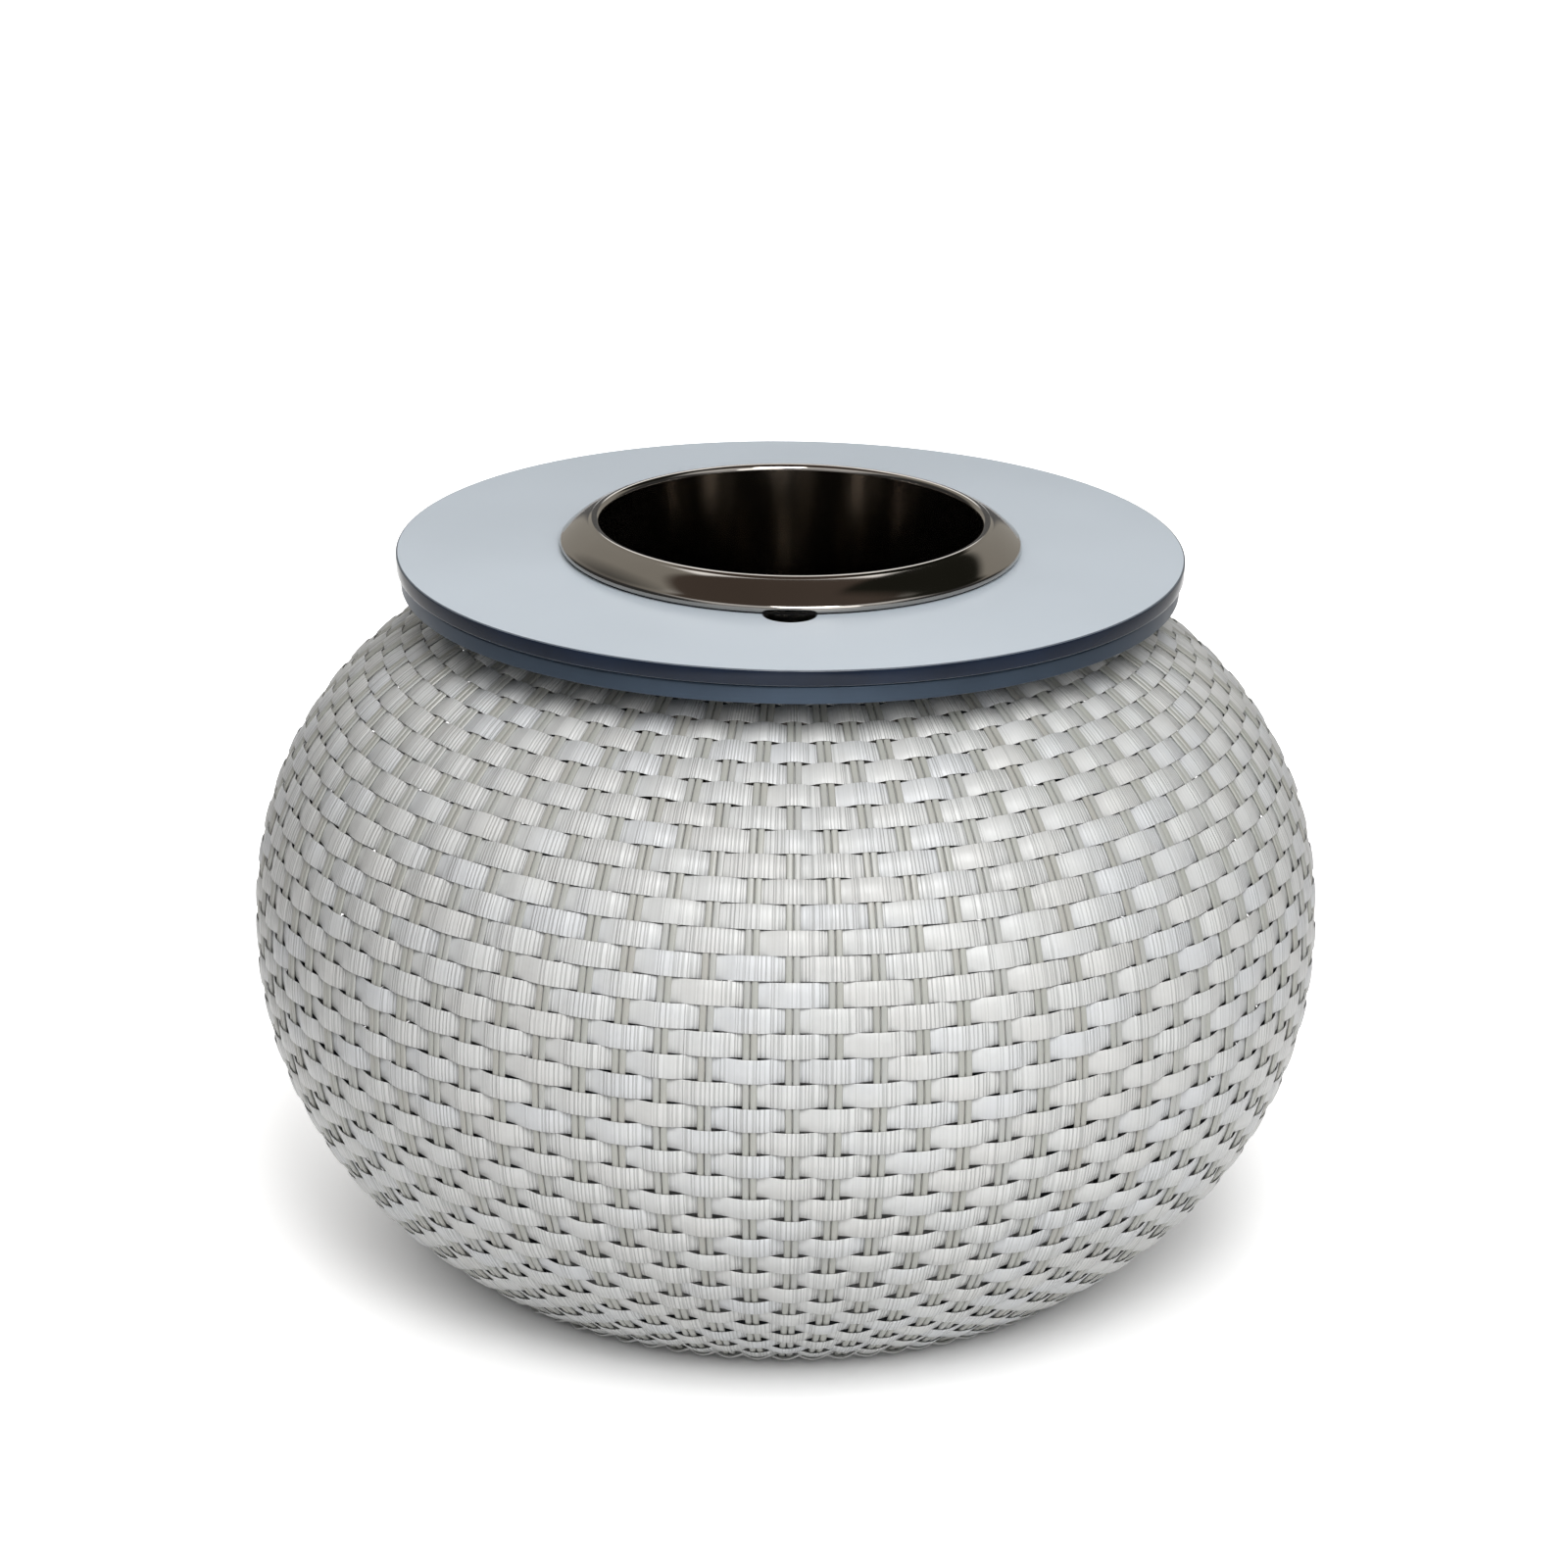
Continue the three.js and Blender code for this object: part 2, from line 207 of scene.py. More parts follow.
def new_material(name, **shader_values):
    """A material with one Principled shader, and the constants on its sockets."""
    material = bpy.data.materials.new(name)
    material.use_nodes = True
    shader = material.node_tree.nodes["Principled BSDF"]
    for label, value in shader_values.items():
        shader.inputs[label.replace("_", " ")].default_value = value
    return material, material.node_tree, shader.inputs


def feed(tree, sockets, **sources):
    """Links outputs to the sockets of a shader or of a group's end."""
    for label, source in sources.items():
        tree.links.new(source, sockets[label.replace("_", " ")])


def bump(tree, height, depth):
    """A normal from a height that runs from 0 to 1 over this depth in metres."""
    return put(tree, "Bump", {"Height": height, "Distance": depth}).outputs["Normal"]


def colour(red, green, blue):
    """A colour given as its 0 to 255 values on screen."""
    shares = [value / 255 for value in (red, green, blue)]
    linear = [s / 12.92 if s <= 0.04045 else ((s + 0.055) / 1.055) ** 2.4 for s in shares]
    return (*linear, 1)


def make_uneven_tone():
    """Slow patches of lighter and darker tone and of duller and shinier finish."""
    inputs = {"Colour": (0.5, 0.5, 0.5, 1), "Tone": 0.1, "Scale": 8.0}
    inputs.update({"Roughness": 0.5, "Dullness": 0.1})
    outputs = {"Colour": "NodeSocketColor", "Roughness": "NodeSocketFloat"}
    group, given = new_group("uneven_tone", inputs, outputs)
    clouds = noise(group, given["Scale"], 4.0)
    patches = remap(group, clouds, noise_low, noise_high, -1.0, 1.0)
    brightness = maths(group, "ADD", maths(group, "MULTIPLY", patches, given["Tone"]), 1.0)
    shade = put(group, "CombineColor", {"Red": brightness, "Green": brightness, "Blue": brightness})
    toned = blend_colours(group, 1.0, given["Colour"], shade.outputs[0], "MULTIPLY")
    duller = maths(group, "MULTIPLY", patches, given["Dullness"])
    roughness = maths(group, "ADD", duller, given["Roughness"])
    end = group.nodes.new("NodeGroupOutput").inputs
    feed(group, end, Colour=toned, Roughness=roughness)
    return group


def make_grain():
    """A fine all-over grain: the skin of a powder coat, frosted glass or moulded rubber."""
    inputs = {"Scale": 900.0, "Sharpness": 1.0}
    group, given = new_group("grain", inputs, {"Height": "NodeSocketFloat"})
    height = maths(group, "MULTIPLY", noise(group, given["Scale"], 2.0), given["Sharpness"])
    feed(group, group.nodes.new("NodeGroupOutput").inputs, Height=height)
    return group


uneven_tone = make_uneven_tone()
grain = make_grain()


def finish(name, tone, roughness, patch=(0.1, 8.0, 0.06), skin=(900.0, 0.00003), **shader_values):
    """A plain finish: patches of (tone, scale, dullness) over a grain of (scale, depth in m)."""
    material, tree, shader = new_material(name, **shader_values)
    values = {"Colour": tone, "Tone": patch[0], "Scale": patch[1]}
    values.update({"Roughness": roughness, "Dullness": patch[2]})
    toned = place_group(tree, uneven_tone, values)
    height = place_group(tree, grain, {"Scale": skin[0]})["Height"]
    normal = bump(tree, height, skin[1])
    feed(tree, shader, Base_Color=toned["Colour"], Roughness=toned["Roughness"], Normal=normal)
    return material


powder_coat = finish("powder_coat", colour(70, 75, 80), roughness=0.46, Metallic=0.3)


def ring_of_tube(name, node):
    """A ring of round tube in place of the CAD ring, and the height of the tube's middle."""
    low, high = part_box(node)
    # the CAD ring's section is a hexagon on its flat, and the tube reaches its corners
    tube = (high.z - low.z) / 2 / math.cos(math.pi / 6)
    centre = (high.x - tube, (high.z + low.z) / 2)
    outline = arc(centre, tube, 0, 360, tube_sides)[:-1]
    ring = add_object(name, turned(name, outline, ring_steps), "table", powder_coat)
    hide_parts(node)
    return centre[1]


hem_ring_height = ring_of_tube("hem_ring_tube", "base_ring")
ring_of_tube("belt_tube", "belt_ring")
rim_ring_height = ring_of_tube("rim_ring_tube", "top_ring")


# Wall of the weave: two squared-off quarter ellipses that meet at the belly.
# A point on it is found by its distance up the wall from the bottom edge.
belly_radius = 0.350
hem_height = 0.004
belly_height = 0.218
rim_height = 0.444
lower_half = {"edge": 0.231, "rise": belly_height - hem_height, "roundness": 2.09, "fullness": 2.21}
upper_half = {"edge": 0.190, "rise": rim_height - belly_height, "roundness": 2.23, "fullness": 2.43}
wall_steps = 500


def wall_radius(height):
    """Outer radius of the woven wall at this height."""
    half = lower_half if height < belly_height else upper_half
    drawn_in = 1 - (half["edge"] / belly_radius) ** half["fullness"]
    reach = half["rise"] / drawn_in ** (1 / half["roundness"])
    climb = abs(height - belly_height) / reach
    return belly_radius * (1 - climb ** half["roundness"]) ** (1 / half["fullness"])


wall_rise = rim_height - hem_height
wall_heights = [hem_height + wall_rise * i / wall_steps for i in range(wall_steps + 1)]
wall_radii = [wall_radius(height) for height in wall_heights]
wall_lengths = [0.0]
for i in range(wall_steps):
    step = math.hypot(wall_heights[i + 1] - wall_heights[i], wall_radii[i + 1] - wall_radii[i])
    wall_lengths.append(wall_lengths[-1] + step)
wall_length = wall_lengths[-1]


def on_wall(distance):
    """Radius, height and slope (across, up) of the wall, this far from its bottom edge."""
    i = min(max(bisect.bisect_right(wall_lengths, distance) - 1, 0), wall_steps - 1)
    run = wall_lengths[i + 1] - wall_lengths[i]
    across = (wall_radii[i + 1] - wall_radii[i]) / run
    up = (wall_heights[i + 1] - wall_heights[i]) / run
    past = distance - wall_lengths[i]
    return wall_radii[i] + across * past, wall_heights[i] + up * past, across, up


def rib_mesh(name, angle, inset, tube):
    """A tube that follows the wall, this far inside it."""
    rings = []
    for i in range(rib_steps + 1):
        radius, height, across, up = on_wall(wall_length * i / rib_steps)
        ring = []
        for out, beside in arc((0, 0), tube, 0, 360, tube_sides)[:-1]:
            point = around(radius + (out - inset) * up, angle, height - (out - inset) * across)
            ring.append(point + beside * Vector((-math.sin(angle), math.cos(angle), 0)))
        rings.append(ring)
    inside_rings = [ring for ring in rings if hem_ring_height < ring[0].z < rim_ring_height]
    points, faces = [], []
    join_rings(points, faces, inside_rings, closed=False)
    return mesh_of(name, points, faces)


rib_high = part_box("rib_1")[1]
rib_tube = rib_high.y
rib_inset = belly_radius - rib_high.x + rib_tube
for i in range(rib_count):
    name = f"rib_tube_{i + 1}"
    mesh = rib_mesh(name, 2 * math.pi * i / rib_count, rib_inset, rib_tube)
    rib = add_object(name, mesh, "table", powder_coat)
    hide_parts(f"rib_{i + 1}")


def coat(node, material):
    """Gives a CAD piece this finish."""
    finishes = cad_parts[node].data.materials
    finishes.clear()
    finishes.append(material)


bracket_count = 4
for i in range(bracket_count):
    coat(f"bracket_{i + 1}", powder_coat)


# Woven body: flat fluted cane of extruded plastic, pale grey, woven over and behind pairs of oval
# cords that run from the bottom edge to the top edge.
stake_count = 84
back_stake = math.radians(90.9)
cord_width = 0.0042
cord_depth = 0.0024
cord_spacing = 0.0046
cord_gap = 0.0001
cord_sides = 8
cord_steps = 54
stake_wander = math.radians(0.25)
wander_waves = 1.3
lean_share = 0.6
wave_share = 0.4

strip_pitch = 0.01536
strip_height = 0.0150
strip_thickness = 0.0008
strip_crown = 0.0003
strip_edge = 0.0005
strip_twist = math.radians(1.6)
strip_drift = 0.00035
crest_rise = 0.0013
crest_end_share = 0.05
dip_start_share = 0.9
binding_height = 0.0076
strip_steps = 12
strip_length = 2 * math.pi * belly_radius / stake_count
swing = cord_depth / 2 + strip_thickness / 2 + cord_gap
weave_inset = swing + strip_thickness / 2 + strip_crown - crest_rise
rows_per_piece = 13

row_count = int((wall_length - 2 * binding_height) / strip_pitch)
dice = random.Random(8)
stake_phases = [dice.uniform(0, 2 * math.pi) for stake in range(stake_count)]
stake_leans = [dice.uniform(-1, 1) for stake in range(stake_count)]


def stake_angle(stake, distance):
    """Where a pair of cords stands, this far up the wall. The pairs wander a little."""
    i = stake % stake_count
    wave = math.sin(stake_phases[i] + wander_waves * 2 * math.pi * distance / wall_length)
    wander = stake_wander * (lean_share * stake_leans[i] + wave_share * wave)
    return back_stake + 2 * math.pi * stake / stake_count + wander


def off_wall(distance, angle, out, along=0.0):
    """A point this far outward from the middle of the weave, and this far up or down it."""
    radius, height, across, up = on_wall(distance)
    lift = out - weave_inset
    return around(radius + lift * up + along * across, angle, height - lift * across + along * up)


def strip_section():
    """Outline of the strip as (out, up) points: crowned outside, flat inside, rounded edges."""
    half = strip_height / 2
    skin = strip_thickness / 2
    return [
        (0.0, -half),
        (skin, -half + strip_edge),
        (skin + strip_crown, 0.0),
        (skin, half - strip_edge),
        (0.0, half),
        (-skin, half - strip_edge),
        (-skin, -half + strip_edge),
    ]


def ease(share):
    """From 0 to 1, flat at both ends."""
    held = min(max(share, 0), 1)
    return held * held * (3 - 2 * held)


def sway(share):
    """From 1 over a stake to -1 behind the next. The dip is longer than the crest."""
    return 1 - 2 * ease((share - crest_end_share) / (dip_start_share - crest_end_share))


def between(values, here, beside, share):
    """From -1 to 1, running smoothly from the value at one stake to the value at the next."""
    return 2 * (values[here] + (values[beside] - values[here]) * ease(share)) - 1


def woven_strip(row):
    """Rings of points of one strip, and each ring's place along it, side, tint and fluting."""
    middle = binding_height + (row + 0.5) * strip_pitch
    twists, drifts, tints, flutings = [
        [dice.random() for stake in range(stake_count)] for kind in range(4)
    ]
    section = strip_section()
    rings, marks = [], []
    # it starts behind a stake at the back, where its two ends meet out of sight
    first = row % 2
    for stake in range(first, first + stake_count):
        here, beside = stake % stake_count, (stake + 1) % stake_count
        over = (row + stake) % 2 == 1
        piece = here if over else beside
        start, end = stake_angle(stake, middle), stake_angle(stake + 1, middle)
        for step in range(strip_steps):
            share = step / strip_steps
            out = swing * (sway(share) if over else sway(1 - share))
            twist = strip_twist * between(twists, here, beside, share)
            drift = strip_drift * between(drifts, here, beside, share)
            angle = start + (end - start) * share
            ring = []
            for thick, tall in section:
                ring.append(off_wall(middle, angle, out + thick + twist * tall, tall + drift))
            rings.append(ring)
            side = share if over else share - 1
            marks.append(((stake + share) * strip_length, side, tints[piece], flutings[piece]))
    return rings, marks


def mark_points(mesh, marks):
    """Keeps each point's place along its strip, side, tint and fluting, for the cane's material."""
    for place, label in enumerate(("along", "side", "tint", "fluting")):
        attribute = mesh.attributes.new(label, "FLOAT", "POINT")
        attribute.data.foreach_set("value", [mark[place] for mark in marks])


tint_scale = 38.0
warm_below = 0.45
cool_above = 0.55


def make_cane_tint():
    """Dye that varies from warm to cool along and between pieces of cane."""
    inputs = {"Warm": (0.5, 0.5, 0.5, 1), "Middle": (0.5, 0.5, 0.5, 1), "Cool": (0.5, 0.5, 0.5, 1)}
    inputs["Streaks"] = 0.5
    group, given = new_group("cane_tint", inputs, {"Colour": "NodeSocketColor"})
    tint = put(group, "Attribute", {}, attribute_name="tint").outputs["Fac"]
    cloud = remap(group, noise(group, tint_scale, 2.0), noise_low, noise_high, -0.5, 0.5)
    drift = maths(group, "MULTIPLY", cloud, given["Streaks"])
    share = maths(group, "ADD", tint, drift)
    warm_share = remap(group, share, 0.0, warm_below, 1.0, 0.0)
    cool_share = remap(group, share, cool_above, 1.0, 0.0, 1.0)
    warmed = blend_colours(group, warm_share, given["Middle"], given["Warm"])
    cooled = blend_colours(group, cool_share, warmed, given["Cool"])
    feed(group, group.nodes.new("NodeGroupOutput").inputs, Colour=cooled)
    return group


def noise_along(tree, place, scale):
    """Noise along one line."""
    sockets = {"W": place, "Scale": scale, "Detail": 2.0}
    return put(tree, "TexNoise", sockets, noise_dimensions="1D").outputs["Fac"]


waver_scale = 230.0
groove_below = -0.9
rib_above = 0.2
stretch_scale = 90.0
stretch_shift = 9.0
side_weight = 0.24
piece_weight = 0.25
smooth_below = 0.44
deep_above = 0.68
smooth_depth = 0.1
flat_shade = 0.4


def make_flutes():
    """Fine uneven ribs across the cane, rubbed flat in some stretches and deep in others, and a
    painted shade that darkens their grooves.
    """
    outputs = {"Height": "NodeSocketFloat", "Shade": "NodeSocketFloat"}
    inputs = {"Spacing": 0.0027, "Waver": 9.0, "Depth": 1.0}
    group, given = new_group("flutes", inputs, outputs)
    along, side, fluting = [
        put(group, "Attribute", {}, attribute_name=label).outputs["Fac"]
        for label in ("along", "side", "fluting")
    ]
    # wide ribs with narrow grooves between them, not quite evenly spaced
    waver = maths(group, "MULTIPLY", noise_along(group, along, waver_scale), given["Waver"])
    turns = maths(group, "MULTIPLY", maths(group, "DIVIDE", along, given["Spacing"]), 2 * math.pi)
    phase = maths(group, "ADD", turns, waver)
    ribs = remap(group, maths(group, "SINE", phase), groove_below, rib_above, 0.0, 1.0)
    # each piece has its own smooth stretches, more of them towards its left end
    shifted = maths(group, "ADD", along, maths(group, "MULTIPLY", fluting, stretch_shift))
    stretch = noise_along(group, shifted, stretch_scale)
    by_side = maths(group, "MULTIPLY", side, side_weight)
    by_piece = maths(group, "MULTIPLY", fluting, piece_weight)
    lean = maths(group, "ADD", by_side, by_piece)
    unworn = maths(group, "ADD", stretch, lean)
    unworn = remap(group, unworn, smooth_below, deep_above, smooth_depth, 1.0)
    depth = maths(group, "MULTIPLY", unworn, given["Depth"])
    height = maths(group, "MULTIPLY", ribs, depth)
    # painted shade: 1 in the deepest groove, least on a rib beside it, and the flat shade where
    # there are no ribs
    hollow = maths(group, "SUBTRACT", 1 - flat_shade, ribs)
    shade = maths(group, "ADD", maths(group, "MULTIPLY", hollow, depth), flat_shade)
    feed(group, group.nodes.new("NodeGroupOutput").inputs, Height=height, Shade=shade)
    return group


cane_tint = make_cane_tint()
flutes = make_flutes()
# painted shade: the grey that the grooves of the flutes are darkened towards
painted_groove_colour = colour(140, 141, 140)
groove_shade = 0.2
groove_depth = 0.0003


def make_cane(name, warm, middle, cool, flute_depth, painted_shade_share, roughness):
    """Extruded plastic cane, tinted, fluted and satin, with painted shade in the grooves of its
    flutes.
    """
    material, tree, shader = new_material(name, Specular_IOR_Level=0.5)
    tints = {"Warm": warm, "Middle": middle, "Cool": cool, "Streaks": 0.5}
    tinted = place_group(tree, cane_tint, tints)["Colour"]
    ribs = place_group(tree, flutes, {"Depth": flute_depth})
    # painted shade: the colour is darkened in the grooves of the flutes
    groove = remap(tree, ribs["Shade"], groove_shade, 1.0, 0.0, painted_shade_share)
    shaded = blend_colours(tree, groove, tinted, painted_groove_colour)
    values = {"Colour": shaded, "Tone": 0.03, "Scale": 20.0}
    values.update({"Roughness": roughness, "Dullness": 0.05})
    toned = place_group(tree, uneven_tone, values)
    normal = bump(tree, ribs["Height"], groove_depth)
    feed(tree, shader, Base_Color=toned["Colour"], Roughness=toned["Roughness"], Normal=normal)
    return material


strip_cane = make_cane(
    "fluted_cane",
    warm=colour(204, 204, 202),
    middle=colour(205, 206, 205),
    cool=colour(204, 206, 208),
    flute_depth=1.0,
    painted_shade_share=0.55,
    roughness=0.38,
)
cord_cane = make_cane(
    "oval_cane",
    warm=colour(164, 163, 157),
    middle=colour(164, 165, 159),
    cool=colour(170, 171, 168),
    flute_depth=0.0,
    painted_shade_share=0.0,
    roughness=0.34,
)

for first in range(0, row_count, rows_per_piece):
    points, faces, marks = [], [], []
    for row in range(first, min(first + rows_per_piece, row_count)):
        rings, ring_marks = woven_strip(row)
        join_rings(points, faces, rings, closed=True)
        for mark in ring_marks:
            marks.extend([mark] * len(rings[0]))
    name = f"woven_strips_{first // rows_per_piece + 1}"
    mesh = mesh_of(name, points, faces, crease_degrees=50)
    mark_points(mesh, marks)
    strips = add_object(name, mesh, "table", strip_cane)
    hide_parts("woven_shell")


def oval(depth, width):
    """The section of an oval cord, as (out, along) points."""
    circle = arc((0, 0), 1, 0, 360, cord_sides)[:-1]
    return [(x * depth / 2, y * width / 2) for x, y in circle]


def stake_cords():
    """Both cords of every pair, from the bottom edge of the weave to its top edge."""
    points, faces, marks = [], [], []
    section = oval(cord_depth, cord_width)
    for stake in range(stake_count):
        for side in (-1, 1):
            beside = side * cord_spacing / 2
            rings = []
            tint = dice.random()
            for step in range(cord_steps + 1):
                distance = wall_length * step / cord_steps
                radius = on_wall(distance)[0]
                angle = stake_angle(stake, distance)
                ring = []
                for out, along in section:
                    ring.append(off_wall(distance, angle + (beside + along) / radius, out))
                rings.append(ring)
            join_rings(points, faces, rings, closed=False)
            marks.extend([(0.0, 0.0, tint, 0.0)] * len(rings) * cord_sides)
    mesh = mesh_of("stake_cords", points, faces)
    mark_points(mesh, marks)
    return add_object("stake_cords", mesh, "table", cord_cane)


stakes = stake_cords()
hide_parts("woven_shell")


# Bindings: at the bottom edge and the top edge two flat oval strands of cane are twined round every
# stake, so that the weave can't slip off. The bottom one is the wavy edge just above the floor.
strand_width = 0.0068
strand_thickness = 0.0022
strand_rise = 0.0020
strand_lean = 0.25
strand_tint = 0.2


def binding(name, middle):
    """Two oval strands that twine round the stakes, this far up the wall."""
    points, faces, marks = [], [], []
    section = oval(strand_thickness, strand_width)
    for strand in range(2):
        rings = []
        for stake in range(stake_count):
            over = 1 if (stake + strand) % 2 else -1
            start, end = stake_angle(stake, middle), stake_angle(stake + 1, middle)
            for step in range(strip_steps):
                share = step / strip_steps
                angle = start + (end - start) * share
                out = over * math.cos(math.pi * share) * (cord_depth + strand_thickness) / 2
                rise = over * math.sin(math.pi * share) * strand_rise
                lean = over * math.cos(math.pi * share) * strand_lean
                ring = []
                for thick, tall in section:
                    ring.append(off_wall(middle, angle, out + thick + lean * tall, rise + tall))
                rings.append(ring)
                marks.extend([(0.0, 0.0, strand_tint, 0.0)] * cord_sides)
        join_rings(points, faces, rings, closed=True)
    mesh = mesh_of(name, points, faces)
    mark_points(mesh, marks)
    made = add_object(name, mesh, "table", strip_cane)
    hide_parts("woven_shell")


binding("bottom_binding", binding_height / 2)
binding("top_binding", wall_length - binding_height / 2)


# Glides: six feet moulded in soft black plastic and clipped under the bottom ring. They carry the
# table and are hidden inside the edge of the weave.
glide_count = 6
rubber = finish(
    "rubber", colour(30, 31, 33), roughness=0.7, patch=(0.12, 60.0, 0.05), skin=(1600.0, 0.00002)
)
for i in range(glide_count):
    coat(f"glide_{i + 1}", rubber)


# Tray: a ring of aluminium sheet with a turned-down skirt, painted slate. Countersunk screws hold
# it to the brackets, and it shows as a dull band under the edge of the glass.
tray_low, tray_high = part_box("top_tray")
tray_radius = tray_high.x
tray_hole = 0.1715
tray_sheet = 0.003
tray_rounding = 0.0015
tray_edge = 0.0004
tray_steps = 192

tray_paint = finish(
    "tray_paint",
    colour(54, 66, 80),
    roughness=0.34,
    patch=(0.08, 30.0, 0.05),
    skin=(1500.0, 0.00002),
    Metallic=0.7,
)
underside = tray_high.z - tray_sheet
skirt_inside = tray_radius - tray_sheet
inner_bend = (skirt_inside - tray_rounding, underside - tray_rounding)
outer_bend = (tray_radius - tray_rounding, tray_high.z - tray_rounding)
tray_outline = [
    (tray_hole, underside),
    *arc(inner_bend, tray_rounding, 90, 0, 4),
    (skirt_inside, tray_low.z + tray_edge),
    (skirt_inside + tray_edge, tray_low.z),
    (tray_radius - tray_edge, tray_low.z),
    (tray_radius, tray_low.z + tray_edge),
    *arc(outer_bend, tray_rounding, 0, 90, 6),
    (tray_hole, tray_high.z),
]
tray_mesh = turned("tray_ring", tray_outline, tray_steps)
tray = add_object("tray_ring", tray_mesh, "table", tray_paint)
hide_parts("top_tray")

screw_steel = finish("screw_steel", colour(150, 152, 154), roughness=0.35, Metallic=1.0)
for i in range(bracket_count):
    coat(f"screw_{i + 1}", screw_steel)


# Glass top: 10 mm tempered glass, acid etched on top and painted pale grey behind, with ground and
# polished edges that show dark. It lies on six clear pads.
glass_low, glass_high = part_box("glass_top")
glass_radius = glass_high.x
glass_hole = 0.132
glass_arris = 0.0011
notch_radius = 0.016
notch_reach = 0.1605
glass_steps = 256
notch_steps = 24
level_above = 0.99
upright_below = 0.3

clear_silicone = finish(
    "clear_silicone", colour(214, 218, 219), roughness=0.5, skin=(700.0, 0.00002)
)
pad_count = 6
for i in range(pad_count):
    coat(f"glass_pad_{i + 1}", clear_silicone)


def hole_outline():
    """The round hole with the finger notch at the front, as (x, y) points."""
    centre = -notch_reach + notch_radius
    meets = math.degrees(math.asin(notch_radius / glass_hole))
    hole = arc((0, 0), glass_hole, -90 + meets, 270 - meets, glass_steps)
    notch = arc((0, centre), notch_radius, -180, 0, notch_steps)
    return hole + notch


def plate(name, outlines, low, high, arris):
    """A flat plate with eased edges, between two heights. The first outline is its outer edge."""
    shape = bpy.data.curves.new(name, "CURVE")
    shape.dimensions = "2D"
    shape.fill_mode = "BOTH"
    shape.extrude = (high - low) / 2 - arris
    shape.bevel_depth = arris
    shape.bevel_resolution = 2
    shape.offset = -arris
    for outline in outlines:
        spline = shape.splines.new("POLY")
        spline.points.add(len(outline) - 1)
        for point, (x, y) in zip(spline.points, outline):
            point.co = (x, y, 0, 1)
        spline.use_cyclic_u = True
    holder = bpy.data.objects.new(name, shape)
    bpy.context.scene.collection.objects.link(holder)
    depsgraph = bpy.context.evaluated_depsgraph_get()
    mesh = bpy.data.meshes.new_from_object(holder.evaluated_get(depsgraph))
    bpy.data.objects.remove(holder)
    mesh.name = name
    mesh.transform(Matrix.Translation((0, 0, (low + high) / 2)))
    return mesh


etched_glass = finish(
    "etched_glass",
    colour(195, 205, 214),
    roughness=0.3,
    patch=(0.02, 6.0, 0.03),
    skin=(2500.0, 0.00001),
)
polished_edge = finish(
    "polished_edge",
    colour(18, 28, 44),
    roughness=0.12,
    patch=(0.2, 25.0, 0.03),
    skin=(300.0, 0.00002),
    Specular_IOR_Level=0.2,
)
ground_arris = finish(
    "ground_arris",
    colour(92, 100, 110),
    roughness=0.45,
    patch=(0.05, 25.0, 0.03),
    skin=(900.0, 0.00002),
)

glass_mesh = plate(
    "glass_disc",
    [arc((0, 0), glass_radius, 0, 360, glass_steps)[:-1], hole_outline()],
    glass_low.z,
    glass_high.z,
    glass_arris,
)
smooth(glass_mesh, crease_degrees=30)
glass = add_object("glass_disc", glass_mesh, "table", etched_glass, polished_edge, ground_arris)
etched, polished, ground = range(3)
# the flat faces are etched, the upright edges polished and the sloping arris between them ground
for face in glass_mesh.polygons:
    levelness = abs(face.normal.z)
    if levelness > level_above:
        face.material_index = etched
    elif levelness < upright_below:
        face.material_index = polished
    else:
        face.material_index = ground
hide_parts("glass_top")


# Ice bucket: one spun sheet of stainless steel, polished by turning. It hangs by its brim on a soft
# gasket, and lifts straight out.
bucket_low, bucket_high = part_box("ice_bucket")
gasket_low, gasket_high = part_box("rim_gasket")
sheet = 0.0015
lip_radius = 0.127
lip_rounding = 0.003
brim_radius = 0.148
brim_rise = 0.0145
brim_crown = 0.0015
brim_steps = 14
bead_rounding = 0.0021
floor_radius = 0.072
floor_corner = 0.040
wall_taper = 0.007
bucket_steps = 192
same_point = 0.00001
polish_scale = 2600.0
polish_depth = 0.000004

lip_height = bucket_high.z - sheet / 2
bead_height = lip_height - brim_rise
floor_height = bucket_low.z + sheet / 2


def spun_line():
    """The middle of the sheet, from the floor's centre up the wall and over the lip to the bead."""
    wall_foot = lip_radius - lip_rounding - wall_taper
    corner = (wall_foot - floor_corner, floor_height + floor_corner)
    # the lip turns over from the wall to the slope of the brim, and the bead turns under
    lip = arc((lip_radius, lip_height - lip_rounding), lip_rounding, 180, 45, 12)
    bead = arc((brim_radius - bead_rounding, bead_height), bead_rounding, 60, -90, 10)
    (start_r, start_z), (end_r, end_z) = lip[-1], bead[0]
    brim = []
    for i in range(1, brim_steps):
        share = i / brim_steps
        bow = brim_crown * 4 * share * (1 - share)
        radius = start_r + (end_r - start_r) * share
        brim.append((radius, start_z + (end_z - start_z) * share + bow))
    floor = [(0.0, floor_height), (floor_radius, floor_height)]
    return [*floor, *arc(corner, floor_corner, -75, 0, 14), *lip, *brim, *bead]


def thicken(line, thickness):
    """Both faces of a sheet that follows the line, as one closed outline."""
    outer, inner = [], []
    for i, (radius, height) in enumerate(line):
        before = line[max(i - 1, 0)]
        after = line[min(i + 1, len(line) - 1)]
        run = (after[0] - before[0], after[1] - before[1])
        reach = thickness / 2 / math.hypot(*run)
        # a point on the axis keeps to it
        out = (-run[1] * reach, run[0] * reach) if radius else (0.0, thickness / 2)
        inner.append((radius + out[0], height + out[1]))
        outer.append((radius - out[0], height - out[1]))
    return outer + inner[::-1]


